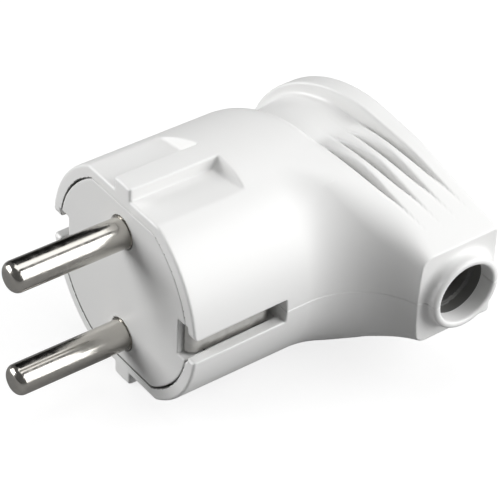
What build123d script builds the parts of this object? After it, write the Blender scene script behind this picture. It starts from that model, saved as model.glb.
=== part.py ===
from build123d import *
import math
import os

# Angled mains plug, rewirable, 16 A, for a round socket with side earth contacts.
# Frame: origin at the centre of the engagement face, pins towards -X, cable outlet
# towards -Y, the two pins above each other along Z. All lengths in millimetres.

# Body and face
body_r = 18.25             # round plug body, 36.5 mm across
flat_z = 16.1              # half distance between the two guide flats
key_half_w = 1.95          # half width of the key rib left between the flats
flat_end = 13.6            # where the guide flats stop, on the leaning rear line
flat_end_slope = 60.0      # degrees, slope of the step that ends a flat
lean = 10.26               # degrees, lean of the grip flange seen from above

# Pins
pin_r = 2.4
pin_root_r = 2.6           # the part of a pin that sits in the carrier
pin_pitch = 19.0
pin_len = 19.0
pin_tip_r = 1.3            # rounding of the tip
post_r = 3.5               # terminal post behind the face
post_start = 5.0
post_end = 11.8
wire_hole_r = 1.6
wire_hole_depth = 6.0

# Earth slots and the earth strip
slot_half_h = 3.2
slot_floor = 14.05         # distance of the slot's inner wall from the axis, at the face
slot_len = 16.1
slot_mouth_half = 2.2      # half height of the slot between its outer lips
slot_lip_gap = 0.4         # from the strip to the inner faces of those lips
slot_flare = 2.4           # length over which the lips open out to the face
strip_half_w = 2.75
strip_t = 0.8
strip_out = 15.9           # outer surface of the strip's side legs
strip_bridge_x = 14.4      # front surface of the bridge behind the carrier
strip_nose = 1.0           # how far behind the face the strip's front end lies
strip_nose_part = 2.0      # length of the bent-in nose, in strip thicknesses
strip_nose_drop = 1.1      # how far the nose bends in, in strip thicknesses
strip_nose_slant = 0.1     # how much further its inner corner reaches
strip_bend_r = 1.4

# Shoulder, neck and grip flange, measured on planes that lean with the flange
neck_r = 15.43             # floor of the finger neck round the leaning axis
shoulder_foot = 30.6       # foot of the shoulder on the neck floor
shoulder_slope = 53.0      # degrees, slope of the shoulder's wall at its foot
shoulder_round_part = 0.6  # part of the shoulder's wall that its rounding takes
flange_front = 38.9
flange_t = 3.3
neck_fillet = 0.9
ramp_angle = 107.0         # where the neck stops following the circle, from +Y
ramp_rise = 10.8           # degrees, rise of the rib ramps
rib_count = 3
groove_slope = 53.0        # degrees, back slope of each rib
groove_floor_angle = 12.5  # degrees, fall of the groove floors towards the cable end
groove_lean = 12.6         # degrees, lean of the grooves seen from above
groove_end = 24.5          # groove tools end beyond the place where they run out
groove_reach = 6.0         # height of the groove tools, beyond the outline
flat_reach = 4.0           # height of the tools for the guide flats, beyond the outline

# Arm with the cable outlet
taper = 17.0               # degrees, fall of the outline where it leaves the round body
arm_taper = 26.6           # degrees, fall of the arm's top and bottom to the cable end
knee_r = 25.0              # curve between those two falls
arm_end = 27.6             # the arm's end face
arm_end_half_z = 7.75      # half height of the end face
arm_corner_r = 0.5
sweep_start = 20.2         # where the body begins to sweep into the arm
sweep_r = 13.0             # radius of that sweep, seen from above
sweep_turn = 84.0          # degrees of that sweep
outlet_x = 40.1            # axis of the cable outlet
collar_r = 6.05
collar_len = 2.3
collar_edge_r = 0.5
outlet_r = 4.9
outlet_depth = 4.6
throat_r = 4.3
throat_len = 2.0

# Contact carrier
plate_r = 16.2
plate_flat = 14.2
plate_front_t = 1.8
plate_rim = 0.8            # extra radius of the plate's captured rear rim
plate_t = 3.6
block_half_y = 7.0
block_half_z = 13.7
block_end = 12.0
fit = 0.15                 # clearance between the moulded parts
bore_gap = 0.1             # radial gap round the pins in the carrier
window_r = 2.0             # opening in the carrier for a terminal screw
retainer_t = 2.2
retainer_half_y = 7.0
retainer_half_z = 13.0
retainer_hole_r = 2.6
retainer_screw_y = 5.2
retainer_screw_z = 5.0
retainer_screw_len = 6.0
retainer_head_rim = 0.6    # how far its head stands out round the shank

# Housing inside
wall = 2.0
chamber_r = 15.6
chamber_flat = 14.05
chamber_end = 25.0
rear_r = 12.2
back_wall = 2.4
arm_room_x = 24.0
arm_room_y = -14.2
arm_room_half_z = 10.0
channel_half_x = 4.3
channel_half_z = 6.5
boss_r = 3.4

# Small screws: shank, head, screwdriver slot
screw_r = 1.2
screw_head_r = 2.5
screw_head_h = 1.9
screw_gap = 0.2            # clearance round heads and through holes
thread_gap = 0.05          # radial gap between a screw and its tapped hole
slot_w = 0.7
slot_depth = 0.8
screw_head_z = 8.4         # underside of the housing screws' heads below the joint plane
screw_reach = 6.5          # how far they enter the upper half
front_screw_inset = 5.85   # from the round body's side
front_screw_back = 3.2     # ahead of the chamber's end
arm_screw_inset = 10.0     # from the arm's end face
arm_screw_side = 6.9       # from the outlet's axis
rear_screw_inset = 2.6     # from the rear room's side
rear_screw_back = 3.9      # ahead of the flange

# Earth terminal
earth_screw_r = 1.9
earth_head_r = 3.4
earth_head_h = 2.2
earth_plate_half = 3.8
earth_plate_t = 1.2
washer_r = 3.3
washer_t = 0.7
earth_nut_half = 3.3
earth_nut_t = 3.0
earth_screw_tip = 8.0

# Pin terminals
terminal_x = 8.8
terminal_screw_r = 1.5
terminal_screw_tip = 0.6   # height of the tip above the pin's axis
terminal_screw_gap = 0.55  # from its slotted end to the housing's inner flat

# Cord clamp
clamp_y = -11.2
clamp_screw_dx = 7.0
clamp_half_w = 2.8
clamp_foot_z = -1.0
clamp_foot_t = 2.0
clamp_arch_r = 4.6
clamp_throat_r = 3.3
clamp_tongue = 1.2
clamp_boss_r = 2.5
clamp_screw_reach = 6.5
clamp_rib_half_w = 1.0
clamp_rib_top = -3.6

lean_n = Vector(math.cos(math.radians(lean)), math.sin(math.radians(lean)), 0)
lean_t = Vector(math.sin(math.radians(lean)), -math.cos(math.radians(lean)), 0)
screw_places = (
    (chamber_end - front_screw_back, body_r - front_screw_inset),
    (outlet_x - arm_screw_side, arm_screw_inset - arm_end),
    (flange_front - rear_screw_back, rear_r - rear_screw_inset),
)
back_wall_x = flange_front + flange_t - back_wall
clamp_x = back_wall_x - math.tan(math.radians(lean)) * (clamp_y + clamp_half_w)
clamp_x -= clamp_arch_r + 2 * fit
shoulder_top = shoulder_foot - (body_r - neck_r) / math.tan(math.radians(shoulder_slope))
shoulder_round = shoulder_round_part * (body_r - neck_r)
shoulder_round /= math.sin(math.radians(shoulder_slope)) * math.tan(math.radians(shoulder_slope / 2))
terminal_screw_len = chamber_flat - terminal_screw_gap - terminal_screw_tip - pin_pitch / 2
rib_pitch = (flange_front - shoulder_foot) / rib_count
far = 60.0                 # long enough to pass any piece


def lean_plane(x_cross):
    """Plane square to the leaning axis that crosses the X axis at x_cross."""
    return Plane(origin=(x_cross, 0, 0), x_dir=-lean_t, z_dir=lean_n)


def lean_section(x_cross):
    """Upright plane along the leaning axis: its x runs to the rear, its y is up."""
    return Plane(origin=(x_cross, 0, 0), x_dir=lean_n, z_dir=lean_t)


def both_sides(tool):
    """A tool and its mirror image below the joint plane."""
    return [tool, mirror(tool, about=Plane.XY)]


def disc(radius, x_from, x_to, y=0.0, z=0.0):
    """Cylinder along X."""
    plane = Plane(origin=(x_from, y, z), x_dir=(0, 1, 0), z_dir=(1, 0, 0))
    return extrude(plane * Circle(radius), x_to - x_from)


def column(radius, x, y, z_from, z_to):
    """Cylinder along Z."""
    return extrude(Plane.XY.offset(z_from) * Pos(x, y) * Circle(radius), z_to - z_from)


def block(x, y, z):
    """Box from three pairs of limits."""
    return Pos(sum(x) / 2, sum(y) / 2, sum(z) / 2) * Box(x[1] - x[0], y[1] - y[0], z[1] - z[0])


def envelope():
    """Upper half of the outline: the round body and two falls towards the cable end."""
    angle = math.radians(taper)
    slope = math.tan(math.radians(arm_taper))
    top = (-body_r * math.sin(angle), body_r * math.cos(angle))
    end = (-arm_end, arm_end_half_z)
    run = (top[1] - end[1] - (arm_end + top[0]) * slope) / (math.tan(angle) - slope)
    knee = (top[0] - run, top[1] - run * math.tan(angle))
    side = Plane(origin=(0, 0, 0), x_dir=(0, 1, 0), z_dir=(1, 0, 0))
    middle = math.radians(45 - taper / 2)
    arc = ThreePointArc(top, (body_r * math.sin(middle), body_r * math.cos(middle)), (body_r, 0))
    rest = Polyline((body_r, 0), (-arm_end, 0), end, knee, top)
    face = make_face([arc, rest])
    corner = face.vertices().sort_by_distance((*end, 0))[0]
    face = fillet(corner, arm_corner_r)
    bend = face.vertices().sort_by_distance((*knee, 0))[0]
    return extrude(side * fillet(bend, knee_r), far)


def sector(inner_r, outer_r, half_angle):
    """Ring sector facing the cable end, in a plane across the X axis."""
    angle = math.radians(half_angle)
    inner = ThreePointArc(
        (-inner_r * math.cos(angle), inner_r * math.sin(angle)),
        (-inner_r, 0),
        (-inner_r * math.cos(angle), -inner_r * math.sin(angle)),
    )
    outer = ThreePointArc(
        (-outer_r * math.cos(angle), outer_r * math.sin(angle)),
        (-outer_r, 0),
        (-outer_r * math.cos(angle), -outer_r * math.sin(angle)),
    )
    return make_face([inner, Line(inner @ 1, outer @ 1), outer, Line(outer @ 0, inner @ 0)])


def body_sweep():
    """Waste round the plug's body and along its hollow sweep into the arm."""
    turn = CenterArc((sweep_start, -sweep_r), sweep_r, 90, -sweep_turn)
    path = Line((-1, 0), (sweep_start, 0)) + turn
    start = Plane(origin=(-1, 0, 0), x_dir=(0, 1, 0), z_dir=(1, 0, 0))
    waste = sector(body_r, body_r + arm_end, 90 - taper)
    return sweep(start * waste, path=path, normal=(1, 0, 0))


def guide_flats():
    """Flats above and below with a key rib between them, ended by sloping steps."""
    run = flat_reach / math.tan(math.radians(flat_end_slope))
    points = [(-far, 0), (0, 0), (run, flat_reach), (-far, flat_reach)]
    plane = lean_section(flat_end).offset(-body_r)
    plane = Plane(origin=plane.origin + Vector(0, 0, flat_z), x_dir=plane.x_dir, z_dir=plane.z_dir)
    step = extrude(plane * make_face(Polyline(*points, close=True)), 2 * body_r)
    key = block((-far, far), (-key_half_w, key_half_w), (0, far))
    return both_sides(step - key)


def neck_section():
    """Cross-section of the finger neck: rounded shoulder, floor and the flange's front."""
    width = (flange_front - shoulder_top) * math.cos(math.radians(lean))
    foot = (shoulder_foot - shoulder_top) * math.cos(math.radians(lean))
    start = -shoulder_round
    points = [(start, body_r), (0, body_r), (foot, neck_r), (width, neck_r), (width, far), (start, far)]
    face = make_face(Polyline(*points, close=True))
    corner = face.vertices().sort_by_distance((0, body_r, 0))[0]
    face = fillet(corner, shoulder_round)
    inner = face.vertices().sort_by_distance((width, neck_r, 0))[0]
    return fillet(inner, neck_fillet)


def neck():
    """Finger neck: turned round the leaning axis, then run out over the ribs by ramps."""
    axis = Axis((shoulder_top, 0, 0), lean_n)
    section = lean_section(shoulder_top) * neck_section()
    past_top = ramp_angle - 90
    start = section.rotate(axis, -(90 + ramp_angle))
    ring = revolve(start, axis, 2 * ramp_angle)
    rise = math.radians(ramp_rise)
    heading = lean_t * math.cos(rise) + Vector(0, 0, math.sin(rise))
    ramp = extrude(section.rotate(axis, past_top), far, dir=heading)
    return [ring] + both_sides(ramp)


def rib_grooves():
    """Sloping grooves that part the ribs and run out on the arm's surface."""
    fall = math.radians(groove_floor_angle)
    begin = neck_r * math.sin(math.radians(ramp_angle - 90))
    floor = neck_r / math.cos(fall) - begin * math.tan(fall)
    run = groove_reach / math.tan(math.radians(groove_slope))
    turn = math.radians(groove_lean)
    across = Vector(math.cos(turn), math.sin(turn), 0)
    along = Vector(math.sin(turn), -math.cos(turn), 0)
    heading = along * math.cos(fall) - Vector(0, 0, math.sin(fall))
    tools = []
    for index in range(rib_count + 1):
        origin = Vector(shoulder_foot + index * rib_pitch, 0, floor) + along * begin
        plane = Plane(origin=origin, x_dir=across, z_dir=along)
        wedge = make_face(Polyline((0, 0), (0, groove_reach), (-run, groove_reach), close=True))
        tools += both_sides(extrude(plane * wedge, groove_end - begin, dir=heading))
    return tools


def collar():
    """Upper half of the ring round the cable outlet."""
    plane = Plane(origin=(outlet_x, -arm_end + 1, 0), x_dir=(1, 0, 0), z_dir=(0, -1, 0))
    ring = extrude(plane * Circle(collar_r), collar_len + 1)
    ring = fillet(ring.edges().sort_by(Axis.Y)[0], collar_edge_r)
    return ring & block((0, far), (-far, 0), (0, far))


def outlet_bore(radius, y_from, y_to):
    plane = Plane(origin=(outlet_x, y_from, 0), x_dir=(1, 0, 0), z_dir=(0, -1, 0))
    return extrude(plane * Circle(radius), y_from - y_to)


def outer_form():
    """Outside of the upper half-shell, still solid."""
    back = lean_plane(flange_front + flange_t)
    form = envelope() - extrude(back * Rectangle(4 * far, 4 * far), far)
    form -= body_sweep()
    for tool in [guide_flats()[0]] + neck()[:2] + rib_grooves()[::2]:
        form -= tool
    return form + collar()


def cut_all(shape, tools):
    """Subtract several tools one after another."""
    for tool in tools:
        shape -= tool
    return shape


def earth_slots():
    """Slots for the socket's side earth contacts, narrowed by lips that flare to the face."""
    lip = strip_out + slot_lip_gap
    cavity = block((-1, slot_len), (slot_floor, lip), (-slot_half_h, slot_half_h))
    corners = [(-1, slot_half_h), (0, slot_half_h), (slot_flare, slot_mouth_half)]
    corners.append((slot_len, slot_mouth_half))
    corners += [(x, -z) for x, z in reversed(corners)]
    plane = Plane(origin=(0, lip, 0), x_dir=(1, 0, 0), z_dir=(0, -1, 0))
    mouth = extrude(plane * make_face(Polyline(*corners, close=True)), lip - far)
    right = cavity + mouth
    return [right, mirror(right, about=Plane.XZ)]


def flat_disc(radius, flat, x_from, x_to):
    """Disc along X with flats above and below."""
    return disc(radius, x_from, x_to) & block((x_from, x_to), (-far, far), (-flat, flat))


def screw_columns(radius, z_from, z_to):
    """Columns at the housing screws."""
    return [column(radius, x, y, z_from, z_to) for x, y in screw_places]


def inner_room():
    """Everything hollow inside the housing apart from the carrier's seat."""
    narrow = slot_floor - wall
    front = disc(chamber_r, plate_t, chamber_end)
    front &= block((0, far), (-far, far), (-chamber_flat, chamber_flat))
    for sign in (-1, 1):
        side = sorted((sign * narrow, sign * far))
        front -= block((0, slot_len + wall), side, (-far, far))
    room = front + disc(rear_r, chamber_end - 1, far)
    room += block((arm_room_x, far), (arm_room_y, 0), (-arm_room_half_z, arm_room_half_z))
    channel_end = -arm_end - collar_len + outlet_depth + throat_len
    channel_x = (outlet_x - channel_half_x, outlet_x + channel_half_x)
    room += block(channel_x, (channel_end, 0), (-channel_half_z, channel_half_z))
    back = lean_plane(back_wall_x)
    room -= extrude(back * Rectangle(4 * far, 4 * far), far)
    for post in screw_columns(boss_r, -far, far):
        room -= post
    clamp_post = (clamp_x - clamp_screw_dx, clamp_y)
    room -= column(clamp_boss_r, *clamp_post, -far, clamp_foot_z)
    rib_y = (clamp_y - clamp_rib_half_w, clamp_y + clamp_rib_half_w)
    room -= block((clamp_x - clamp_arch_r, far), rib_y, (-far, clamp_rib_top))
    return room


def carrier_seat():
    """Stepped seat that holds the carrier's plate by its rim."""
    front = flat_disc(plate_r + fit, plate_flat + fit, -1, plate_front_t)
    rim_r = plate_r + plate_rim + fit
    rim_flat = plate_flat + plate_rim + fit
    return front + flat_disc(rim_r, rim_flat, plate_front_t - fit, plate_t + fit)


def strip_passage():
    """Gap through the slot walls for the bridge of the earth strip."""
    x = (strip_bridge_x - fit, strip_bridge_x + strip_t + 2 * fit)
    half = strip_half_w + fit
    return block(x, (-slot_floor - 1, slot_floor + 1), (-half, half))


def tongue_pocket():
    """Pocket in the back wall for the cord clamp's tongue."""
    x = (clamp_x, clamp_x + clamp_arch_r + clamp_tongue + fit)
    y = (clamp_y - clamp_half_w - fit, clamp_y + clamp_half_w + fit)
    z = (clamp_foot_z - fit, clamp_foot_z + clamp_foot_t + fit)
    return block(x, y, z)


def common_cuts():
    """Hollows that both half-shells share."""
    mouth = -arm_end - collar_len
    bore = outlet_bore(outlet_r, mouth + outlet_depth, mouth - 1)
    throat = outlet_bore(throat_r, mouth + outlet_depth + throat_len + 1, mouth)
    return [bore, throat, carrier_seat(), strip_passage(), tongue_pocket()] + earth_slots()


def housing_upper():
    """Upper half-shell with the pilot holes; the halves meet on the joint plane."""
    form = outer_form() - inner_room()
    pilots = screw_columns(screw_r + thread_gap, -1, screw_reach + screw_gap)
    return cut_all(form, common_cuts() + pilots)


def housing_lower():
    """Lower half-shell with the screws' holes and counterbores and the clamp's post."""
    form = mirror(outer_form(), about=Plane.XY) - inner_room()
    tools = screw_columns(screw_r + screw_gap, -screw_head_z - 1, 1)
    tools += screw_columns(screw_head_r + screw_gap, -far, -screw_head_z)
    tip = clamp_foot_z - clamp_screw_reach - screw_gap
    tools.append(column(screw_r + thread_gap, clamp_x - clamp_screw_dx, clamp_y, tip, 1))
    return cut_all(form, common_cuts() + tools)


def contact_carrier():
    """Insulating carrier: face plate, captured rim and the block round the terminals."""
    plate = flat_disc(plate_r, plate_flat, 0, plate_front_t)
    rim = flat_disc(plate_r + plate_rim, plate_flat + plate_rim, plate_front_t, plate_t)
    core = block((plate_t, block_end), (-block_half_y, block_half_y), (-block_half_z, block_half_z))
    body = plate + rim + core
    tools = earth_slots()
    for sign in (-1, 1):
        z = sign * pin_pitch / 2
        tools.append(disc(pin_root_r + bore_gap, -1, post_start + 1, 0, z))
        tools.append(disc(post_r + bore_gap, post_start, far, 0, z))
        limits = sorted((sign * (pin_pitch / 2), sign * far))
        tools.append(column(window_r, terminal_x, 0, *limits))
    nut = earth_nut_half + bore_gap
    tools.append(block((block_end - earth_nut_t, far), (-nut, nut), (-nut, nut)))
    tools.append(disc(earth_screw_r + bore_gap, earth_screw_tip - 1, far))
    start = block_end + retainer_t - retainer_screw_len - screw_gap
    for y, z in retainer_places():
        tools.append(disc(screw_r + thread_gap, start, far, y, z))
    return cut_all(body, tools)


def retainer_places():
    return ((retainer_screw_y, retainer_screw_z), (-retainer_screw_y, -retainer_screw_z))


def retaining_plate():
    """Insulating plate that closes the carrier behind the pins and the earth nut."""
    y = (-retainer_half_y, retainer_half_y)
    z = (-retainer_half_z, retainer_half_z)
    plate = block((block_end, block_end + retainer_t), y, z)
    tools = [disc(earth_screw_r + screw_gap, 0, far)]
    for sign in (-1, 1):
        tools.append(disc(retainer_hole_r, 0, far, 0, sign * pin_pitch / 2))
    for y, z in retainer_places():
        tools.append(disc(screw_r + screw_gap, 0, far, y, z))
    return cut_all(plate, tools)


def pin(sign):
    """Contact pin turned with its terminal post from one bar."""
    z = sign * pin_pitch / 2
    outline = [(-pin_len, 0), (post_end, 0), (post_end, post_r), (post_start, post_r)]
    outline += [(post_start, pin_root_r), (0, pin_root_r), (0, pin_r), (-pin_len, pin_r)]
    face = make_face(Polyline(*outline, close=True))
    tip = face.vertices().sort_by_distance((-pin_len, pin_r, 0))[0]
    body = Pos(0, 0, z) * revolve(Plane.XZ * fillet(tip, pin_tip_r), Axis.X)
    body -= disc(wire_hole_r, post_end - wire_hole_depth, far, 0, z)
    limits = sorted((z, z + sign * far))
    return body - column(terminal_screw_r + thread_gap, terminal_x, 0, *limits)


def slotted_screw(shank_r, shank_len, head_r, head_h):
    """Slotted screw standing on its tip side: head underside at z = 0, shank downwards."""
    shank = column(shank_r, 0, 0, -shank_len, 0)
    shank = chamfer(shank.edges().sort_by(Axis.Z)[0], shank_r / 4)
    head = column(head_r, 0, 0, 0, head_h)
    head = fillet(head.edges().sort_by(Axis.Z)[-1], head_h / 4)
    slot = block((-head_r, head_r), (-slot_w / 2, slot_w / 2), (head_h - slot_depth, head_h + 1))
    return shank + head - slot


def terminal_screw(sign):
    """Headless clamping screw in a pin's post."""
    body = column(terminal_screw_r, 0, 0, -terminal_screw_len, 0)
    body = chamfer(body.edges().sort_by(Axis.Z)[0], terminal_screw_r / 4)
    body -= block((-far, far), (-slot_w / 2, slot_w / 2), (-slot_depth, 1))
    top = pin_pitch / 2 + terminal_screw_tip + terminal_screw_len
    body = Pos(terminal_x, 0, top) * body
    return body if sign > 0 else mirror(body, about=Plane.XY)


def housing_screw(place):
    """Screw that joins the halves from below."""
    screw = slotted_screw(screw_r, screw_head_z + screw_reach, screw_head_r, screw_head_h)
    return Pos(place[0], place[1], -screw_head_z) * Rot(180, 0, 0) * screw


def retaining_screw(place):
    """Screw that holds the retaining plate to the carrier."""
    screw = slotted_screw(screw_r, retainer_screw_len, screw_r + retainer_head_rim, screw_r)
    return Pos(block_end + retainer_t, *place) * Rot(0, 90, 0) * screw


def earth_strip():
    """Sprung strip bent to a U: two contact legs and the bridge between them."""
    outer = strip_bridge_x + strip_t
    inner = strip_out - strip_t
    big = make_face(Polyline((0, 0), (outer, 0), (outer, strip_out), (0, strip_out), close=True))
    big = fillet(big.vertices().sort_by_distance((outer, strip_out, 0))[0], strip_bend_r)
    gap = Polyline((-1, -1), (strip_bridge_x, -1), (strip_bridge_x, inner), (-1, inner), close=True)
    gap = make_face(gap)
    corner = gap.vertices().sort_by_distance((strip_bridge_x, inner, 0))[0]
    half = big - fillet(corner, strip_bend_r - strip_t)
    leg_end = strip_nose + strip_nose_part * strip_t
    half -= Pos(leg_end / 2 - 1, strip_out) * Rectangle(leg_end + 2, 4)
    half += make_face(Polyline(
        (leg_end, inner), (leg_end, strip_out), (strip_nose, strip_out - strip_nose_drop * strip_t),
        (strip_nose - strip_nose_slant, inner - strip_t), close=True))
    strip = extrude(half, strip_half_w, both=True)
    strip += mirror(strip, about=Plane.XZ)
    return strip - disc(earth_screw_r + screw_gap, 0, far)


def earth_plate_x():
    return strip_bridge_x + strip_t


def earth_clamp_plate():
    """Square clamp plate over the earth wire."""
    x = earth_plate_x()
    half = earth_plate_half
    plate = block((x, x + earth_plate_t), (-half, half), (-half, half))
    return plate - disc(earth_screw_r + screw_gap, 0, far)


def earth_washer():
    """Split spring washer under the earth screw's head."""
    x = earth_plate_x() + earth_plate_t
    ring = disc(washer_r, x, x + washer_t) - disc(earth_screw_r + screw_gap, 0, far)
    return ring - block((x - 1, far), (0, far), (-screw_gap, screw_gap))


def earth_screw():
    """Screw of the earth terminal, from the rear into the captive nut."""
    seat = earth_plate_x() + earth_plate_t + washer_t
    screw = slotted_screw(earth_screw_r, seat - earth_screw_tip, earth_head_r, earth_head_h)
    return Pos(seat, 0, 0) * Rot(0, 90, 0) * screw


def earth_nut():
    """Square nut held in the carrier."""
    half = earth_nut_half
    nut = block((block_end - earth_nut_t, block_end), (-half, half), (-half, half))
    return nut - disc(earth_screw_r + thread_gap, 0, far)


def cord_clamp():
    """Arched clamp over the cord: a screw foot on one side, a tongue on the other."""
    y = (clamp_y - clamp_half_w, clamp_y + clamp_half_w)
    left = clamp_x - clamp_screw_dx - clamp_boss_r
    right = clamp_x + clamp_arch_r + clamp_tongue
    top = clamp_foot_z + clamp_foot_t
    feet = block((left, right), y, (clamp_foot_z, top))
    plane = Plane(origin=(clamp_x, y[1], 0), x_dir=(1, 0, 0), z_dir=(0, -1, 0))
    arch = extrude(plane * Circle(clamp_arch_r), y[1] - y[0])
    clamp = feet + arch
    clamp -= extrude(plane * Circle(clamp_throat_r), y[1] - y[0])
    clamp -= block((0, far), (-far, 0), (-far, clamp_foot_z))
    return clamp - column(screw_r + screw_gap, clamp_x - clamp_screw_dx, clamp_y, -far, far)


def cord_clamp_screw():
    """Screw of the cord clamp."""
    top = clamp_foot_z + clamp_foot_t
    reach = top - clamp_foot_z + clamp_screw_reach
    screw = slotted_screw(screw_r, reach, screw_head_r - 2 * screw_gap, screw_head_h)
    return Pos(clamp_x - clamp_screw_dx, clamp_y, top) * screw


def build():
    return {
        "housing_upper": housing_upper(),
        "housing_lower": housing_lower(),
        "contact_carrier": contact_carrier(),
        "retaining_plate": retaining_plate(),
        "retaining_screw_left": retaining_screw(retainer_places()[0]),
        "retaining_screw_right": retaining_screw(retainer_places()[1]),
        "pin_upper": pin(1),
        "pin_lower": pin(-1),
        "terminal_screw_upper": terminal_screw(1),
        "terminal_screw_lower": terminal_screw(-1),
        "earth_strip": earth_strip(),
        "earth_clamp_plate": earth_clamp_plate(),
        "earth_washer": earth_washer(),
        "earth_screw": earth_screw(),
        "earth_nut": earth_nut(),
        "cord_clamp": cord_clamp(),
        "cord_clamp_screw": cord_clamp_screw(),
        "housing_screw_front": housing_screw(screw_places[0]),
        "housing_screw_arm": housing_screw(screw_places[1]),
        "housing_screw_rear": housing_screw(screw_places[2]),
    }


os.makedirs("parts", exist_ok=True)
for name, shape in build().items():
    export_step(shape, f"parts/{name}.step")
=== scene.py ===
import math

import bmesh
import bpy
import numpy as np
from mathutils import Matrix, Vector


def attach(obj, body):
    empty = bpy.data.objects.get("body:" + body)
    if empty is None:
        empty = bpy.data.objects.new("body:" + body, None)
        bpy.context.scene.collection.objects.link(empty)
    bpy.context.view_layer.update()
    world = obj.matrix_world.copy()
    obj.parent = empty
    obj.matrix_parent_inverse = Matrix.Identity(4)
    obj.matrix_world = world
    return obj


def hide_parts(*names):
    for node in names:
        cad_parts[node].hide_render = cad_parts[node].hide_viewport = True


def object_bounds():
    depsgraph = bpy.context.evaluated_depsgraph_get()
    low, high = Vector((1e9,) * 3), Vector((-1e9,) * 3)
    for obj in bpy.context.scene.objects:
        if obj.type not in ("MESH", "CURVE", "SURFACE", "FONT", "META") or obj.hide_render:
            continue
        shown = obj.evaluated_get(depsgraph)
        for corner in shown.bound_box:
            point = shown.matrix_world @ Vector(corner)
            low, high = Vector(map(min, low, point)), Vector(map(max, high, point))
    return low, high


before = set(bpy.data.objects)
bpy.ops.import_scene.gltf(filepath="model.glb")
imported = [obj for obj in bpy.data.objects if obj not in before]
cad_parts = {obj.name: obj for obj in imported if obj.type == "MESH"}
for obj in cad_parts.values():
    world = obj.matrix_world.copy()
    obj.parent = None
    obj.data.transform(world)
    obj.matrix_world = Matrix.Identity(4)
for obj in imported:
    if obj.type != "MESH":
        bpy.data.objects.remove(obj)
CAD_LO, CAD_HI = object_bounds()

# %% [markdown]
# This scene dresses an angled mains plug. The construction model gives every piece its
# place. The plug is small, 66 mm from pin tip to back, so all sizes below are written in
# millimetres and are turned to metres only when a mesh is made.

MM = 0.001
box_size = [round((b - a) / MM, 1) for a, b in zip(CAD_LO, CAD_HI)]
print("CAD box in mm:", box_size, "nodes:", len(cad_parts))


def hex_colour(code):
    """An sRGB hex colour as the linear values that a shader works in."""
    parts = [int(code[i:i + 2], 16) / 255 for i in (1, 3, 5)]
    linear = [p / 12.92 if p <= 0.04045 else ((p + 0.055) / 1.055) ** 2.4 for p in parts]
    return (*linear, 1.0)


# %% [markdown]
# Materials come first. Each one is named for what the real piece is made of and how its
# surface was made. One small function adds a node, sets its values and links it, so that
# each material reads as a list of what the light meets.

# %% A helper for shader nodes
def add(tree, kind, links=None, **settings):
    """Add a node; settings are properties, and links fill sockets with a value or a socket."""
    node = tree.nodes.new(kind)
    for key, value in settings.items():
        setattr(node, key, value)
    for key, value in (links or {}).items():
        if isinstance(value, bpy.types.NodeSocket):
            tree.links.new(value, node.inputs[key])
        else:
            node.inputs[key].default_value = value
    return node


def new_material(name):
    """An empty node material with its output, ready to be filled."""
    material = bpy.data.materials.new(name)
    material.use_nodes = True
    material.node_tree.nodes.clear()
    out = add(material.node_tree, "ShaderNodeOutputMaterial")
    return material, material.node_tree, out


# %% [markdown]
# White moulded polyamide: the housing is injection moulded in a polished tool. It is
# a clean white with a soft gloss. Two things keep it from looking like paint: a very fine
# unevenness of the skin, about 0.6 mm from hill to hill, and a slight change of gloss over
# several millimetres. The two halves never meet quite flush. On the real plug the lower
# one stands out by a hair, and its top edge catches the light as a thin bright line. It
# is drawn as a bump that falls away in the last 0.28 mm below the joint plane.
#
# The walls inside the shells get a dark grey, and so does the outlet from 2.8 mm inwards.
# It is darker than the real plastic, which is white all through. It is painted shade, for the
# shade that lies inside the shells and in the outlet, so it is a look and not the colour of a
# material.

# %% Moulded white plastic
SKIN_HILL, GLOSS_PATCH = 0.6, 7       # mm from hill to hill
LEDGE_WIDE, LEDGE_HIGH = 0.28, 0.2    # mm


def moulded_plastic(name, colour, rough, ledge):
    material, tree, out = new_material(name)
    place = add(tree, "ShaderNodeTexCoord").outputs["Object"]
    skin = add(tree, "ShaderNodeTexNoise", {
        "Vector": place, "Scale": 1 / (SKIN_HILL * MM), "Detail": 3.0})
    flow = add(tree, "ShaderNodeTexNoise", {
        "Vector": place, "Scale": 1 / (GLOSS_PATCH * MM), "Detail": 2.0})
    gloss = add(tree, "ShaderNodeMapRange", {
        "Value": flow.outputs["Fac"], "To Min": rough - 0.02, "To Max": rough + 0.03})
    bump = add(tree, "ShaderNodeBump", {
        "Height": skin.outputs["Fac"], "Strength": 0.05, "Distance": 0.01 * MM})
    if ledge:
        z = add(tree, "ShaderNodeSeparateXYZ", {"Vector": place}).outputs["Z"]
        fall = add(tree, "ShaderNodeMapRange", {
            "Value": z, "From Min": -LEDGE_WIDE * MM, "From Max": 0.0,
            "To Min": 1.0, "To Max": 0.0})
        bump = add(tree, "ShaderNodeBump", {
            "Height": fall.outputs[0], "Strength": 1.0, "Distance": LEDGE_HIGH * MM,
            "Normal": bump.outputs["Normal"]})
    shader = add(tree, "ShaderNodeBsdfPrincipled", {
        "Base Color": hex_colour(colour), "Roughness": gloss.outputs[0], "IOR": 1.53,
        "Normal": bump.outputs["Normal"]})
    tree.links.new(shader.outputs[0], out.inputs["Surface"])
    return material


white_polyamide = moulded_plastic("white_polyamide_polished_moulding", "#ECECEB", 0.33, False)
ledge_polyamide = moulded_plastic("white_polyamide_moulding_with_joint_edge", "#ECECEB", 0.33, True)
face_polyamide = moulded_plastic("white_polyamide_face_moulding", "#E4E4E3", 0.38, False)
# painted shade: this dark grey stands for the shade inside the shells and deep in the outlet, not
# for the plastic's colour
shade_painted_polyamide = moulded_plastic("white_polyamide_painted_shade_inside", "#6A6A68", 0.5, False)
grey_polyamide = moulded_plastic("grey_polyamide_inner_moulding", "#BDBDBA", 0.45, False)

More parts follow.
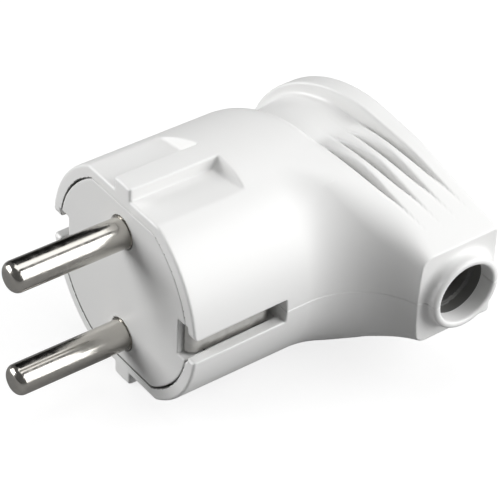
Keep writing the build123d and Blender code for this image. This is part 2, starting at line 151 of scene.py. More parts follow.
# %% [markdown]
# The pins are brass, turned on a lathe and nickel plated. Plating is bright, but the tool
# marks stay as rings round the pin, too fine to count, so they are drawn at about
# 0.25 mm apart. They blur the reflections along the pin and leave them sharp round it.

# %% Nickel plated metal and steel
PLATING_CLOUD, RING_LENGTH = 1.3, 6   # mm


def plated_metal(name, colours, rough, ring_axis, ring_mm, ring_depth):
    material, tree, out = new_material(name)
    place = add(tree, "ShaderNodeTexCoord").outputs["Object"]
    squeeze = [1 / (RING_LENGTH * MM)] * 3
    squeeze[ring_axis] = 1 / (ring_mm * MM)
    stretched = add(tree, "ShaderNodeMapping", {"Vector": place, "Scale": squeeze})
    rings = add(tree, "ShaderNodeTexNoise", {
        "Vector": stretched.outputs[0], "Scale": 1.0, "Detail": 4.0})
    cloud = add(tree, "ShaderNodeTexNoise", {
        "Vector": place, "Scale": 1 / (PLATING_CLOUD * MM), "Detail": 5.0})
    tint = add(tree, "ShaderNodeMix", {
        0: cloud.outputs["Fac"], 6: hex_colour(colours[0]), 7: hex_colour(colours[1])},
        data_type="RGBA")
    gloss = add(tree, "ShaderNodeMapRange", {
        "Value": cloud.outputs["Fac"], "From Min": 0.3, "From Max": 0.7,
        "To Min": rough - 0.05, "To Max": rough + 0.08})
    bump = add(tree, "ShaderNodeBump", {
        "Height": rings.outputs["Fac"], "Strength": 0.35, "Distance": ring_depth * MM})
    shader = add(tree, "ShaderNodeBsdfPrincipled", {
        "Base Color": tint.outputs[2], "Metallic": 1.0, "Roughness": gloss.outputs[0],
        "Normal": bump.outputs["Normal"]})
    tree.links.new(shader.outputs[0], out.inputs["Surface"])
    return material


turned_nickel = plated_metal(
    "nickel_plated_turned_brass", ("#B9B6B0", "#CFCCC6"), 0.18, 0, 0.25, 0.02)
rolled_nickel = plated_metal(
    "nickel_plated_rolled_strip", ("#B9B8B5", "#E4E3E0"), 0.36, 2, 0.30, 0.03)
zinc_steel = plated_metal("zinc_plated_steel", ("#A7ABAE", "#C0C3C5"), 0.36, 2, 0.35, 0.02)
bare_brass = plated_metal("milled_brass", ("#B08D45", "#C7A45A"), 0.37, 1, 0.30, 0.02)
print("materials:", [m.name for m in bpy.data.materials if m.users == 0][:8])

# %% [markdown]
# The housing is the main piece. On the real plug it is two moulded half-shells, and every
# edge of a moulding is a little round: the tool was milled and polished. A mesh of flat
# facets with hard edges would never look like it. So the form is written as a field: a
# function that says, for any point, how far it lies outside the plastic. Fields join with
# minimum and cut with maximum, and a soft maximum rounds the edge between two faces by
# itself. The radius of each edge is then one number.

# %% Fields that join and cut with round edges
def soft_max(a, b, k):
    """The larger of two fields, with their edge rounded over about k millimetres."""
    h = np.maximum(k - np.abs(a - b), 0)
    return np.maximum(a, b) + h * h / (4 * k)


def soft_min(a, b, k):
    """The smaller of two fields, with the corner between them filled over about k."""
    return -soft_max(-a, -b, k)


def box_field(x, y, z, low, high):
    """A plain box; it is exact near its faces, which is all that is needed."""
    parts = [np.maximum(l - v, v - h) for v, l, h in zip((x, y, z), low, high)]
    return np.maximum(np.maximum(parts[0], parts[1]), parts[2])


# %% [markdown]
# These are the sizes of the housing in millimetres, the same as in the construction
# model. The grip flange, the neck and the ribs lean by 10.26 degrees seen from above, so
# they are measured along a leaning direction.

# %% Sizes of the housing
BODY_R, ARM_END, END_HALF_Z = 18.25, 27.6, 7.75
TAPER, ARM_TAPER, KNEE_R = math.radians(17.0), math.radians(26.6), 25.0
LEAN = math.radians(10.26)
SWEEP_X, SWEEP_R = 20.2, 12.95
NECK_R, FOOT, FLANGE_FRONT, FLANGE_BACK = 15.43, 30.6, 38.9, 42.2
SLOPE = math.radians(53)
AXIS_X = FOOT - (BODY_R - NECK_R) / math.tan(SLOPE)
OUTLET_X, COLLAR_R, OUTLET_R, THROAT_R = 40.1, 6.05, 4.9, 4.3
MOUTH, BORE_END, THROAT_END = -29.9, -25.3, -23.3
SLOT_HALF, SLOT_FLOOR, SLOT_END = 3.2, 14.05, 16.1
SLOT_LIP = 16.3
# half height of the slot's mouth at the face and at the rear, and its front corner's radius
UPPER_MOUTH, LOWER_MOUTH = (1.6, 1.9, 0.9), (2.3, 2.1, 0.3)
GROOVE_LEAN, GROOVE_FALL, RAMP_RISE = map(math.radians, (12.6, 12.5, 10.8))
FLAT_Z, KEY_HALF, FLAT_END = 16.1, 1.95, 13.6
SEAT_R, SEAT_FLAT, SEAT_DEPTH, SEAT_GAP = 16.2, 14.2, 1.8, 0.06
RIM_R, RIM_FLAT, RIM_X, RIM_HALF = 17, 15, 2.7, 0.9
# the outlet's dark grey from this depth inwards is painted shade
OUTLET_SHADE = 2.8   # how deep in the outlet its dark colour begins
SCREW_PLACES = ((21.8, 12.4), (33.2, -17.6), (35.0, 9.6))


def leaning(x, y, start):
    """How far a point lies behind a leaning plane that crosses the X axis at start."""
    return (x - start) * math.cos(LEAN) + y * math.sin(LEAN)


# %% Round outline that closes in on the cable end
def outline_field(x, y, z):
    along = -y * math.cos(TAPER) - z * math.sin(TAPER)
    first = -y * math.sin(TAPER) + z * math.cos(TAPER) - BODY_R
    second = (-y - ARM_END) * math.sin(ARM_TAPER) + (z - END_HALF_Z) * math.cos(ARM_TAPER)
    bend = 1.17 * KNEE_R * (1 - math.cos(ARM_TAPER - TAPER))
    rim = np.hypot(y, z) - BODY_R
    side = np.where(along > 0, soft_max(first, second, bend), rim)
    # the hollow sweep: beyond the round body the side turns out into the arm
    half = np.sqrt(np.maximum(BODY_R**2 - z**2, 1.0))
    beyond = -y - half
    across, inward = np.maximum(x - SWEEP_X, 0), np.maximum(SWEEP_R - beyond, 0)
    reach = np.hypot(across, inward) + 1e-6
    size = np.sqrt(1 + (inward / reach * z / half) ** 2)
    sweep = (SWEEP_R - reach) / size
    # the edge between the two is rounded by its own angle, less towards the cable end
    fall = np.where(second > first, ARM_TAPER, TAPER)
    normal_y = np.where(along > 0, -np.sin(fall), y / (np.hypot(y, z) + 1e-6))
    normal_z = np.where(along > 0, np.cos(fall), z / (np.hypot(y, z) + 1e-6))
    cosine = inward / reach * (normal_z * z / half - normal_y) / size
    radius = np.interp(-y, (12, 20, ARM_END), (6.5, 5.0, 1.8))
    return soft_max(side, sweep, 1.17 * radius * np.clip(1 - cosine, 0, 2) + 0.02)


# %% [markdown]
# The finger neck is turned round the leaning axis. Towards the arm its floor rises as a
# ramp, and four sloping grooves leave three ribs there for the fingers. The grooves are
# one rule used four times, with the rib pitch as its step.

# %% Neck, flange and ribs
def add_neck(form, x, y, z):
    s = leaning(x, y, AXIS_X)
    t = (x - AXIS_X) * math.sin(LEAN) - y * math.cos(LEAN)
    width = (FLANGE_FRONT - AXIS_X) * math.cos(LEAN)
    foot = (FOOT - AXIS_X) * math.cos(LEAN)
    turn = math.radians(17)
    start = NECK_R * math.cos(turn + RAMP_RISE)
    ramp = (z * math.cos(RAMP_RISE) - t * math.sin(RAMP_RISE) - start) / math.cos(RAMP_RISE + turn)
    ramp = np.maximum(ramp, -t)
    floor = soft_min(np.hypot(t, z) - NECK_R, ramp, 0.5)
    shoulder = (s - foot) * math.sin(SLOPE) + floor * math.cos(SLOPE)
    air = soft_max(-soft_min(shoulder, floor, 0.5), s - width, 1.05)
    form = soft_max(form, -air, np.interp(s - width, (-2.0, -0.5), (1.9, 0.55)))
    pitch = (FLANGE_FRONT - FOOT) / 3
    for i in range(4):
        past_wall = (x - FOOT - i * pitch) * math.cos(GROOVE_LEAN) + y * math.sin(GROOVE_LEAN)
        run = (x - FOOT - i * pitch) * math.sin(GROOVE_LEAN) - y * math.cos(GROOVE_LEAN)
        bottom = NECK_R / math.cos(GROOVE_FALL) - run * math.tan(GROOVE_FALL)
        slope = (-past_wall * math.tan(SLOPE) - (z - bottom)) * math.cos(SLOPE)
        groove = soft_max(past_wall, slope, 0.35)
        form = soft_max(form, -groove, 0.45)
    return form


# %% Guide flats, collar and slots
def housing_outside(x, y, z, slot_mouth=UPPER_MOUTH):
    form = outline_field(x, y, z)
    form = soft_max(form, -y - ARM_END, 0.18)
    form = add_neck(form, x, y, z)
    form = soft_max(form, leaning(x, y, FLANGE_BACK), 0.6)
    step = leaning(x, y, FLAT_END) * math.sin(math.radians(60)) - (z - FLAT_Z) * 0.5
    flat = soft_max(soft_max(FLAT_Z - z, KEY_HALF - np.abs(y), 0.25), step, 0.3)
    form = soft_max(form, -flat, 0.22)
    ring = np.hypot(x - OUTLET_X, z)
    collar = soft_max(ring - COLLAR_R, MOUTH - y, 0.75)
    form = soft_min(form, soft_max(collar, y + ARM_END - 2, 0.1), 1.3)
    bore = np.minimum(np.maximum(ring - OUTLET_R, y - BORE_END), ring - THROAT_R)
    bore = np.maximum(bore, y - THROAT_END - 1)
    form = soft_max(form, -bore, 0.5)
    lip = slot_mouth[0] + (slot_mouth[1] - slot_mouth[0]) * x / SLOT_END
    radius = slot_mouth[2]
    corner = radius - np.hypot(np.maximum(radius - x, 0), np.maximum(lip + radius - z, 0))
    mouth = np.where((x < radius) & (z < lip + radius), corner, z - lip)
    cavity = np.maximum(z - SLOT_HALF, np.abs(y) - SLOT_LIP)
    slot = np.minimum(np.maximum(mouth, z - SLOT_HALF), cavity)
    slot = soft_max(soft_max(slot, SLOT_FLOOR - np.abs(y), 0.15), x - SLOT_END, 0.15)
    form = soft_max(form, -slot, 0.25)
    return soft_max(form, -x, 0.5)


# %% [markdown]
# Inside, the halves are hollow: a stepped seat for the face plate, the chamber round the
# terminals, and the wiring room that leads to the outlet. Little of it shows, through the
# outlet and the slots, so plain boxes and cylinders with sharp edges are enough.

# %% Hollows of the housing
def seat_field(x, y, z, gap):
    rim = np.hypot(y, z)
    front = np.maximum(np.maximum(rim - SEAT_R - gap, z - SEAT_FLAT - gap), x - SEAT_DEPTH)
    back = np.maximum(np.maximum(rim - RIM_R - gap, z - RIM_FLAT - gap),
                      np.abs(x - RIM_X) - RIM_HALF - gap)
    return front, back


def hollows(x, y, z):
    rim = np.hypot(y, z)
    front, back = seat_field(x, y, z, SEAT_GAP)
    back = np.maximum(back, SLOT_HALF - z)   # the slot's lips stay whole
    room = box_field(x, y, z, (3.6, -99, -9), (25, 99, 14.05))
    room = np.maximum(room, rim - 15.6)
    room = np.maximum(room, -np.maximum(12.05 - np.abs(y), x - 18.1))
    room = np.minimum(room, np.maximum(rim - 12.2, 24 - x))
    room = np.minimum(room, box_field(x, y, z, (24, -14.2, -9), (99, 0, 10)))
    room = np.minimum(room, box_field(x, y, z, (35.8, THROAT_END, -9), (44.4, 0, 6.5)))
    room = np.maximum(room, leaning(x, y, FLANGE_BACK - 2.4))
    for px, py in SCREW_PLACES:
        room = np.maximum(room, 3.4 - np.hypot(x - px, y - py))
    passage = box_field(x, y, z, (14.25, -15, -9), (15.5, 15, 2.9))
    return np.minimum(np.minimum(front, back), np.minimum(room, passage))


def upper_housing(x, y, z):
    return np.maximum(housing_outside(x, y, z), -hollows(x, y, z))


def lower_housing(x, y, z):
    form = np.maximum(housing_outside(x, y, z, LOWER_MOUTH), -hollows(x, y, z))
    for px, py in SCREW_PLACES:
        hole = np.hypot(x - px, y - py)
        form = soft_max(form, -np.maximum(hole - 2.7, 8.4 - z), 0.3)
    return form


# %% [markdown]
# To turn a field into a mesh, space is cut into small cubes. Each cube that the surface
# passes through gets one point, and each grid edge that crosses the surface gets one
# four-sided face that joins the points of the cubes round it. Then every point is pushed
# along the field's slope until it lies on the surface. The cubes are 0.3 mm wide, finer
# than the smallest rounding that shows. Only Z above zero is meshed: the row of cubes on
# the joint plane keeps its points at zero, and that open edge is then filled flat. The
# shading normals come from the field's slope as well, so broad faces stay smooth.

# %% From a field to a mesh
def slope_of(field, p, e=0.02):
    grad = np.empty_like(p)
    for i in range(3):
        q, r = p.copy(), p.copy()
        q[:, i] += e
        r[:, i] -= e
        grad[:, i] = (field(*q.T) - field(*r.T)) / (2 * e)
    return grad


def skin_points(field, low, high, step):
    """Points and four-sided faces of the surface where a field is zero."""
    axes = [np.arange(l, h + step, step) for l, h in zip(low, high)]
    values = np.empty([len(a) for a in axes])
    for i, x in enumerate(axes[0]):
        sheet = np.full((len(axes[1]), len(axes[2])), x)
        values[i] = field(sheet, axes[1][:, None], axes[2][None, :])
    inside = values < 0
    corners = [(i, j, k) for i in (0, 1) for j in (0, 1) for k in (0, 1)]

    def shifted(a, c):
        return a[tuple(slice(d, a.shape[n] - 1 + d) for n, d in enumerate(c))]

    count = sum(shifted(inside, c).astype(np.int8) for c in corners)
    cells = np.argwhere((count > 0) & (count < 8))
    number = np.full([n - 1 for n in inside.shape], -1, np.int64)
    number[tuple(cells.T)] = np.arange(len(cells))
    at = {c: values[tuple((cells + c).T)] for c in corners}
    total, hits = np.zeros((len(cells), 3)), np.zeros(len(cells))
    for a in corners:
        for n in range(3):
            if a[n]:
                continue
            b = tuple(v + (m == n) for m, v in enumerate(a))
            crossed = (at[a] < 0) != (at[b] < 0)
            share = np.where(crossed, at[a] / np.where(crossed, at[a] - at[b], 1), 0)
            spot = np.tile(np.array(a, float), (len(cells), 1))
            spot[:, n] += share
            total += spot * crossed[:, None]
            hits += crossed
    origin = np.array([a[0] for a in axes])
    points = origin + (cells + total / hits[:, None]) * step
    faces = []
    for n in range(3):
        lower = [slice(None)] * 3
        upper = [slice(None)] * 3
        lower[n], upper[n] = slice(0, -1), slice(1, None)
        first, second = inside[tuple(lower)], inside[tuple(upper)]
        spots = np.argwhere(first != second)
        u, v = (n + 1) % 3, (n + 2) % 3
        limits = np.array(number.shape)
        keep = (spots[:, u] > 0) & (spots[:, v] > 0)
        keep &= (spots[:, u] < limits[u]) & (spots[:, v] < limits[v])
        spots = spots[keep]
        ring = []
        for du, dv in ((-1, -1), (0, -1), (0, 0), (-1, 0)):
            c = spots.copy()
            c[:, u] += du
            c[:, v] += dv
            ring.append(number[tuple(c.T)])
        quads = np.stack(ring, 1)
        flip = ~first[tuple(spots.T)]
        quads[flip] = quads[flip][:, ::-1]
        faces.append(quads)
    return points, np.concatenate(faces)


def settle(field, points, step, rounds=4):
    """Push points along the slope until they lie on the surface."""
    start = points.copy()
    for _ in range(rounds):
        grad = slope_of(field, points)
        size = np.maximum((grad**2).sum(1), 0.2)
        move = -field(*points.T)[:, None] * grad / size[:, None]
        points = start + np.clip(points + move - start, -0.8 * step, 0.8 * step)
    return points


def set_normals(mesh, field, mirrored):
    """Shading normals from the field's slope, and flat ones on the joint plane."""
    count = len(mesh.vertices)
    points = np.empty(count * 3)
    mesh.vertices.foreach_get("co", points)
    points = points.reshape(-1, 3) / MM
    side = np.array([1, 1, -1 if mirrored else 1])
    slope = slope_of(field, points * side, 0.08) * side
    slope /= np.maximum(np.linalg.norm(slope, axis=1), 1e-6)[:, None]
    corner = np.empty(len(mesh.loops), int)
    mesh.loops.foreach_get("vertex_index", corner)
    normals = slope[corner]
    for face in mesh.polygons:
        if not face.use_smooth:
            start = face.loop_start
            normals[start:start + face.loop_total] = face.normal
    mesh.normals_split_custom_set(normals.tolist())


def mesh_object(name, points, faces, material):
    mesh = bpy.data.meshes.new(name)
    mesh.from_pydata((points * MM).tolist(), [], faces.tolist())
    mesh.materials.append(material)
    mesh.polygons.foreach_set("use_smooth", [True] * len(mesh.polygons))
    mesh.update()
    obj = bpy.data.objects.new(name, mesh)
    bpy.context.scene.collection.objects.link(obj)
    return obj


def half_shell(name, field, step, flip, material):
    """One half of the housing, closed flat on the joint plane."""
    low, high = (-0.55, -30.6, -step / 2), (48.2, 18.9, 18.9)
    points, faces = skin_points(field, low, high, step)
    on_joint = np.abs(points[:, 2]) <= step / 2 + 1e-6
    points = settle(field, points, step)
    points[on_joint, 2] = 0
    if flip:
        points[:, 2] *= -1
        faces = faces[:, ::-1]
    obj = mesh_object(name, points, faces, material)
    obj.data.materials.append(shade_painted_polyamide)
    centre = points[faces].mean(1) * np.array([1, 1, -1 if flip else 1])
    from_axis = np.hypot(centre[:, 0] - OUTLET_X, centre[:, 2])
    # faces deep in the outlet get the painted shade too
    deep = (centre[:, 1] > MOUTH + OUTLET_SHADE) & (from_axis < OUTLET_R + 0.15)
    # a face near a hollow's field counts as inside and gets the painted shade; at the flange this
    # test wrongly takes in some outside faces too, which shows as dark patches from behind
    inside = (np.abs(hollows(*centre.T)) < 0.1) | deep
    obj.data.polygons.foreach_set("material_index", inside.astype(np.int32))
    bm = bmesh.new()
    bm.from_mesh(obj.data)
    loose = [v for v in bm.verts if not v.link_faces]
    bmesh.ops.delete(bm, geom=loose, context="VERTS")
    rim = [e for e in bm.edges if e.is_boundary]
    filled = bmesh.ops.triangle_fill(bm, edges=rim, use_beauty=False)["geom"]
    new_faces = [g for g in filled if isinstance(g, bmesh.types.BMFace)]
    for face in new_faces:
        face.smooth = False
        if (face.normal.z > 0) != flip:
            face.normal_flip()
    for edge in rim:
        edge.smooth = False
    bm.to_mesh(obj.data)
    bm.free()
    set_normals(obj.data, field, flip)
    print(name, "faces", len(obj.data.polygons), "joint faces", len(new_faces))
    return obj


# %% The two half-shells
def finish_piece(obj, slot, *nodes):
    """A finished piece rides on the plug and stands for its construction nodes."""
    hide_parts(*nodes)
    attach(obj, "root")
    return obj


CUBE = 0.3
upper = half_shell("housing_upper_moulding", upper_housing, CUBE, False, white_polyamide)
lower = half_shell("housing_lower_moulding", lower_housing, CUBE, True, ledge_polyamide)
finish_piece(upper, "housing_white", "housing_upper")
finish_piece(lower, "housing_white", "housing_lower")

# %% [markdown]
# The carrier is one moulding: a face plate with a rim that the housing holds, and a block
# behind it for the terminals. Only its face shows. It is bare, and its seam with the
# housing is a hair wide, opening a little at two opposite corners as on the real plug.

# %% Contact carrier
PIN_Z = 9.5


def carrier(x, y, z):
    up = np.abs(z)
    rim = np.hypot(y, z)
    opening = 0.22 * np.exp(-((np.abs(np.arctan2(z * np.sign(y), np.abs(y))) - 0.75) / 0.3) ** 2)
    front = soft_max(rim - SEAT_R + opening * (y * z > 0), up - SEAT_FLAT, 0.3)
    front = soft_max(np.maximum(front, x - 2.2), -x, 0.25)
    back = np.maximum(np.maximum(rim - RIM_R, up - RIM_FLAT), np.abs(x - RIM_X) - RIM_HALF)
    block = soft_max(np.maximum(np.abs(y) - 7, up - 13.7), np.abs(x - 7.3) - 4.7, 0.5)
    form = np.minimum(np.minimum(front, back), block)
    form = soft_max(form, -np.maximum(up - SLOT_HALF, SLOT_FLOOR - np.abs(y)), 0.25)
    pin = np.hypot(y, up - PIN_Z)
    form = soft_max(form, -np.minimum(pin - 2.68, np.maximum(pin - 3.6, 5 - x)), 0.12)
    window = np.maximum(np.hypot(x - 8.8, y) - 2.0, PIN_Z - up)
    nut = np.maximum(np.maximum(np.abs(y), up) - 3.4, 9 - x)
    inner = np.minimum(np.minimum(window, nut), np.maximum(rim - 2.0, 7 - x))
    for side in (1, -1):
        inner = np.minimum(inner, np.maximum(np.hypot(y - 5.2 * side, z - 5 * side) - 1.25, 8 - x))
    return np.maximum(form, -inner)


def whole_piece(name, field, low, high, step, material):
    """A closed piece meshed from its field on both sides of the joint plane."""
    points, faces = skin_points(field, low, high, step)
    obj = mesh_object(name, settle(field, points, step), faces, material)
    set_normals(obj.data, field, False)
    print(name, "faces", len(obj.data.polygons))
    return obj


plate = whole_piece("contact_carrier_moulding", carrier,
                    (-0.5, -17.5, -15.5), (12.5, 17.5, 15.5), CUBE, face_polyamide)
finish_piece(plate, "carrier_grey", "contact_carrier")

# %% [markdown]
# The earth strip is sprung nickel-plated brass, 0.8 mm thick, bent to a U. Seen from
# above it is a band along a rectangle with round corners, left open at the face, where
# each leg rolls inwards so that the socket's contact slides on. So its field is the
# distance from that outline, less half of the thickness.

# %% Earth strip
def strip(x, y, z):
    middle_x, half_x, half_y, half_wide = 8.05, 6.75, 15.5, 2.75
    corner, half_thick, nose_end, hole_r = 1.1, 0.4, 14.35, 2.1
    across = np.abs(x - middle_x) - half_x + corner
    along = np.abs(y) - half_y + corner
    outline = np.hypot(np.maximum(across, 0), np.maximum(along, 0)) - corner
    outline = outline + np.minimum(np.maximum(across, along), 0)
    band = soft_max(np.abs(outline) - half_thick, np.abs(z) - half_wide, 0.2)
    band = soft_max(band, -np.maximum(x - 3, np.abs(y) - nose_end), 0.15)
    return np.maximum(band, -np.maximum(np.hypot(y, z) - hole_r, 13 - x))


spring = whole_piece("earth_strip_spring", strip,
                     (0.5, -16.4, -3.2), (15.8, 16.4, 3.2), 0.2, rolled_nickel)
finish_piece(spring, "nickel_brass", "earth_strip")

# %% [markdown]
# Seven slotted screws hold the plug together. A real one is headed cold and its thread is
# rolled. They differ in size only, so one node tree makes them all: a shank with a spiral
# ridge, and a domed head with a slot milled across. The sizes come from the construction
# nodes, and each finished screw is turned to a plain mesh in its place.

# %% One tree for every slotted screw
def screw_tree():
    tree = bpy.data.node_groups.new("slotted_screw", "GeometryNodeTree")
    tree.interface.new_socket("Geometry", in_out="OUTPUT", socket_type="NodeSocketGeometry")
    for name in ("Shank Radius", "Shank Length", "Head Radius", "Head Height",
                 "Slot Width", "Slot Depth", "Thread Pitch"):
        tree.interface.new_socket(name, in_out="INPUT", socket_type="NodeSocketFloat")
    tree.interface.new_socket("Material", in_out="INPUT", socket_type="NodeSocketMaterial")
    size = add(tree, "NodeGroupInput").outputs

    def value(operation, a, b):
        return add(tree, "ShaderNodeMath", {0: a, 1: b}, operation=operation).outputs[0]

    def moved(shape, z, scale=None):
        place = add(tree, "ShaderNodeCombineXYZ", {"Z": z}).outputs[0]
        links = {"Geometry": shape, "Translation": place}
        if scale:
            links["Scale"] = scale
        return add(tree, "GeometryNodeTransform", links).outputs[0]

    ridge = value("MULTIPLY", size["Thread Pitch"], 0.3)
    core = add(tree, "GeometryNodeMeshCylinder", {
        "Vertices": 40, "Radius": value("SUBTRACT", size["Shank Radius"], ridge),
        "Depth": size["Shank Length"]}).outputs["Mesh"]
    core = moved(core, value("MULTIPLY", size["Shank Length"], -0.5))
    run = value("SUBTRACT", size["Shank Length"], value("MULTIPLY", ridge, 4.0))
    coil_r = value("SUBTRACT", size["Shank Radius"], ridge)
    coil = add(tree, "GeometryNodeCurveSpiral", {
        "Resolution": 28, "Rotations": value("DIVIDE", run, size["Thread Pitch"]),
        "Start Radius": coil_r, "End Radius": coil_r, "Height": run}).outputs[0]
    section = add(tree, "GeometryNodeCurvePrimitiveCircle", {
        "Resolution": 6, "Radius": ridge}).outputs[0]
    thread = add(tree, "GeometryNodeCurveToMesh", {
        "Curve": coil, "Profile Curve": section, "Fill Caps": True}).outputs[0]
    drop = value("MULTIPLY", value("ADD", run, value("MULTIPLY", ridge, 2.0)), -1.0)
    thread = moved(thread, drop)
    head = add(tree, "GeometryNodeMeshCylinder", {
        "Vertices": 56, "Radius": size["Head Radius"],
        "Depth": size["Head Height"]}).outputs["Mesh"]
    head = moved(head, value("MULTIPLY", size["Head Height"], 0.5))
    ball = add(tree, "GeometryNodeMeshUVSphere", {
        "Segments": 56, "Rings": 28, "Radius": 1.0}).outputs["Mesh"]
    wide = value("MULTIPLY", size["Head Radius"], 1.22)
    dome = add(tree, "ShaderNodeCombineXYZ", {
        "X": wide, "Y": wide, "Z": size["Head Height"]}).outputs[0]
    both = add(tree, "GeometryNodeMeshBoolean", {"Mesh 2": head}, operation="INTERSECT")
    tree.links.new(moved(ball, 0.0, dome), both.inputs["Mesh 2"])
    across = add(tree, "ShaderNodeCombineXYZ", {
        "X": value("MULTIPLY", size["Head Radius"], 3.0), "Y": size["Slot Width"],
        "Z": value("MULTIPLY", size["Slot Depth"], 2.0)}).outputs[0]
    cutter = add(tree, "GeometryNodeMeshCube", {"Size": across}).outputs["Mesh"]
    cutter = moved(cutter, size["Head Height"])
    slotted = add(tree, "GeometryNodeMeshBoolean", {
        "Mesh 1": both.outputs["Mesh"], "Mesh 2": cutter}, operation="DIFFERENCE").outputs["Mesh"]
    joined = add(tree, "GeometryNodeJoinGeometry")
    for shape in (core, thread, slotted):
        tree.links.new(shape, joined.inputs[0])
    real = add(tree, "GeometryNodeRealizeInstances", {0: joined.outputs[0]}).outputs[0]
    done = add(tree, "GeometryNodeSetMaterial", {
        "Geometry": real, "Material": size["Material"]}).outputs[0]
    add(tree, "NodeGroupOutput", {"Geometry": done})
    return tree


# %% The seven screws, sized and placed by their construction nodes
SCREW_TREE = screw_tree()
SCREWS = {   # node: direction of its head, head height, thread pitch
    "housing_screw_front": ((0, 0, -1), 1.9, 0.9),
    "housing_screw_arm": ((0, 0, -1), 1.9, 0.9),
    "housing_screw_rear": ((0, 0, -1), 1.9, 0.9),
    "retaining_screw_left": ((1, 0, 0), 1.2, 0.8),
    "retaining_screw_right": ((1, 0, 0), 1.2, 0.8),
    "earth_screw": ((1, 0, 0), 2.2, 0.7),
    "cord_clamp_screw": ((0, 0, 1), 1.9, 0.9),
}


def slotted_screw(node, direction, head_height, pitch):
    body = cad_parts[node]
    corners = np.array([body.matrix_world @ v.co for v in body.data.vertices]) / MM
    axis = int(np.argmax(np.abs(direction)))
    sense = direction[axis]
    centre = (corners.min(0) + corners.max(0)) / 2
    away = (corners[:, axis] * sense).max() - corners[:, axis] * sense
    radius = np.linalg.norm(np.delete(corners - centre, axis, 1), axis=1)
    shank = radius[away > head_height + 0.1].max()
    sizes = {"Shank Radius": shank, "Shank Length": away.max() - head_height,
             "Head Radius": radius.max(), "Head Height": head_height,
             "Slot Width": 0.8, "Slot Depth": 0.9, "Thread Pitch": pitch}
    obj = bpy.data.objects.new(node + "_slotted", bpy.data.meshes.new("start"))
    bpy.context.scene.collection.objects.link(obj)
    maker = obj.modifiers.new("slotted_screw", "NODES")
    maker.node_group = SCREW_TREE
    for item in SCREW_TREE.interface.items_tree:
        if item.in_out == "INPUT":
            steel = item.name == "Material"
            maker[item.identifier] = zinc_steel if steel else float(sizes[item.name] * MM)
    shaped = obj.evaluated_get(bpy.context.evaluated_depsgraph_get())
    mesh = bpy.data.meshes.new_from_object(shaped)
    obj.modifiers.clear()
    obj.data = mesh
    base = Vector(centre)
    base[axis] = sense * ((corners[:, axis] * sense).max() - head_height)
    turn = Vector(direction).to_track_quat("Z", "Y").to_matrix().to_4x4()
    mesh.transform(Matrix.Translation(base * MM) @ turn)
    mesh.polygons.foreach_set("use_smooth", [True] * len(mesh.polygons))
    mesh.set_sharp_from_angle(angle=math.radians(40))
    finish_piece(obj, "zinc_steel", node)
    print(node, "head", round(radius.max(), 2), "shank", round(shank, 2),
          "faces", len(mesh.polygons))


for node, (direction, head_height, pitch) in SCREWS.items():
    slotted_screw(node, direction, head_height, pitch)

# %% [markdown]
# The pieces whose construction shape is already right keep it and get their material.

# %% Materials on the construction nodes
PLAIN_NODES = {
    "retaining_plate": grey_polyamide,
    "cord_clamp": grey_polyamide,
    "pin_upper": turned_nickel,
    "pin_lower": turned_nickel,
    "earth_clamp_plate": bare_brass,
    "earth_nut": bare_brass,
    "earth_washer": zinc_steel,
    "terminal_screw_upper": zinc_steel,
    "terminal_screw_lower": zinc_steel,
}
for node, material in PLAIN_NODES.items():
    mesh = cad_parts[node].data
    mesh.materials.clear()
    mesh.materials.append(material)

# %% [markdown]
# Floor, light and camera. The floor and the backdrop are one pale surface. It is lit as
# the plug is, and shows a little brighter to the camera, so the background is white and
# the soft shadow under the plug stays.

# %% Floor
FLOOR_GLOW = 0.78   # what the camera sees added, so that the floor comes out white


def floor_material():
    material, tree, out = new_material("pale_studio_floor")
    plain = add(tree, "ShaderNodeBsdfDiffuse", {"Color": hex_colour("#969696")})
    seen = add(tree, "ShaderNodeLightPath")
    level = add(tree, "ShaderNodeMath", {
        0: seen.outputs["Is Camera Ray"], 1: FLOOR_GLOW}, operation="MULTIPLY")
    glow = add(tree, "ShaderNodeEmission", {"Color": (1, 1, 1, 1), "Strength": level.outputs[0]})
    both = add(tree, "ShaderNodeAddShader", {0: plain.outputs[0], 1: glow.outputs[0]})
    tree.links.new(both.outputs[0], out.inputs["Surface"])
    return material


def plane(name, centre, size, material, normal=(0, 0, 1)):
    turn = Vector(normal).to_track_quat("Z", "Y").to_matrix().to_4x4()
    bm = bmesh.new()
    bmesh.ops.create_grid(bm, x_segments=1, y_segments=1, size=size / 2,
                          matrix=Matrix.Translation(Vector(centre)) @ turn)
    mesh = bpy.data.meshes.new(name)
    bm.to_mesh(mesh)
    bm.free()
    mesh.materials.append(material)
    obj = bpy.data.objects.new(name, mesh)
    bpy.context.scene.collection.objects.link(obj)
    return obj


floor = plane("floor", (0, 0, CAD_LO.z - 0.0002), 6.0, floor_material())

# %% World and lamps
world = bpy.data.worlds.new("soft_white_room")
bpy.context.scene.world = world
world.use_nodes = True
world.node_tree.nodes.clear()
sky_out = add(world.node_tree, "ShaderNodeOutputWorld")
path = add(world.node_tree, "ShaderNodeLightPath")
room_level = add(world.node_tree, "ShaderNodeMapRange", {
    "Value": path.outputs["Is Camera Ray"], "To Min": 0.11, "To Max": 1.0})
room = add(world.node_tree, "ShaderNodeBackground", {
    "Color": (1, 1, 1, 1), "Strength": room_level.outputs[0]})
world.node_tree.links.new(room.outputs[0], sky_out.inputs["Surface"])


def soft_lamp(name, place, aim, size, watts):
    lamp = bpy.data.lights.new(name, "AREA")
    lamp.shape = "RECTANGLE"
    lamp.size, lamp.size_y = size
    lamp.energy = watts
    obj = bpy.data.objects.new(name, lamp)
    bpy.context.scene.collection.objects.link(obj)
    obj.location = place
    obj.rotation_euler = (Vector(aim) - Vector(place)).to_track_quat("-Z", "Y").to_euler()
    return obj


def dark_card(name, direction, distance, size):
    """A black board off to one side that only shows in reflections."""
    place = middle + Vector(direction).normalized() * distance
    obj = plane(name, place, size, black_board, middle - place)
    obj.visible_camera = obj.visible_diffuse = obj.visible_shadow = False
    return obj


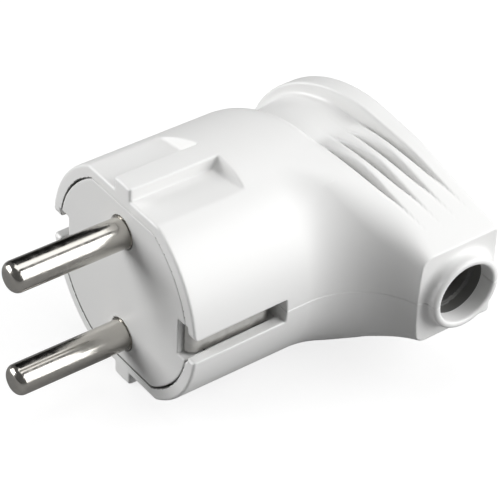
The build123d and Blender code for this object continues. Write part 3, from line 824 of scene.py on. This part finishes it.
middle = (CAD_LO + CAD_HI) / 2
soft_lamp("top_light", middle + Vector((0.10, 0.05, 0.55)), middle, (0.4, 0.4), 0.97)
soft_lamp("right_light", middle + Vector((0.40, -0.40, 0.27)), middle, (0.65, 0.65), 5.3)
soft_lamp("left_light", middle + Vector((-0.36, 0.31, 0.16)), middle, (0.3, 0.3), 2.1)
black_board, board_tree, board_out = new_material("black_felt_board")
felt = add(board_tree, "ShaderNodeBsdfDiffuse", {"Color": hex_colour("#141414")})
board_tree.links.new(felt.outputs[0], board_out.inputs["Surface"])
dark_card("board_behind", (0.48, 0.61, 0.55), 0.5, 0.5)
dark_card("board_right", (0.6, -0.62, -0.05), 0.6, 0.42)

# %% [markdown]
# The camera stands where the photograph's camera stood: 348 mm away, to the left of the
# cable outlet and well above, with a long lens. The figures come from solving the view on
# the pins, the face and the round body.

# %% Camera
AZIMUTH, ELEVATION, ROLL = map(math.radians, (-38.236, 38.704, 2.694))
DISTANCE, FOCAL_PX, IMAGE = 348.263, 2414.615, 500
SLIDE = (20.617, 4.61)
CENTRE_PX = (264.602, 252.037)
back = Vector((math.sin(AZIMUTH) * math.cos(ELEVATION),
               -math.cos(AZIMUTH) * math.cos(ELEVATION), math.sin(ELEVATION)))
level_right = Vector((math.cos(AZIMUTH), math.sin(AZIMUTH), 0))
level_up = back.cross(level_right)
right = level_right * math.cos(ROLL) + level_up * math.sin(ROLL)
up = level_up * math.cos(ROLL) - level_right * math.sin(ROLL)
lens = bpy.data.cameras.new("photo_camera")
lens.sensor_fit, lens.sensor_width = "HORIZONTAL", 36
lens.lens = FOCAL_PX / IMAGE * 36
lens.shift_x = (IMAGE / 2 - CENTRE_PX[0]) / IMAGE
lens.shift_y = (CENTRE_PX[1] - IMAGE / 2) / IMAGE
lens.clip_start, lens.clip_end = 0.01, 20
camera = bpy.data.objects.new("photo_camera", lens)
bpy.context.scene.collection.objects.link(camera)
spot = (back * DISTANCE + right * SLIDE[0] + up * SLIDE[1]) * MM
camera.matrix_world = Matrix.Translation(spot) @ Matrix((right, up, back)).transposed().to_4x4()
bpy.context.scene.camera = camera
bpy.context.scene.view_settings.view_transform = "Standard"
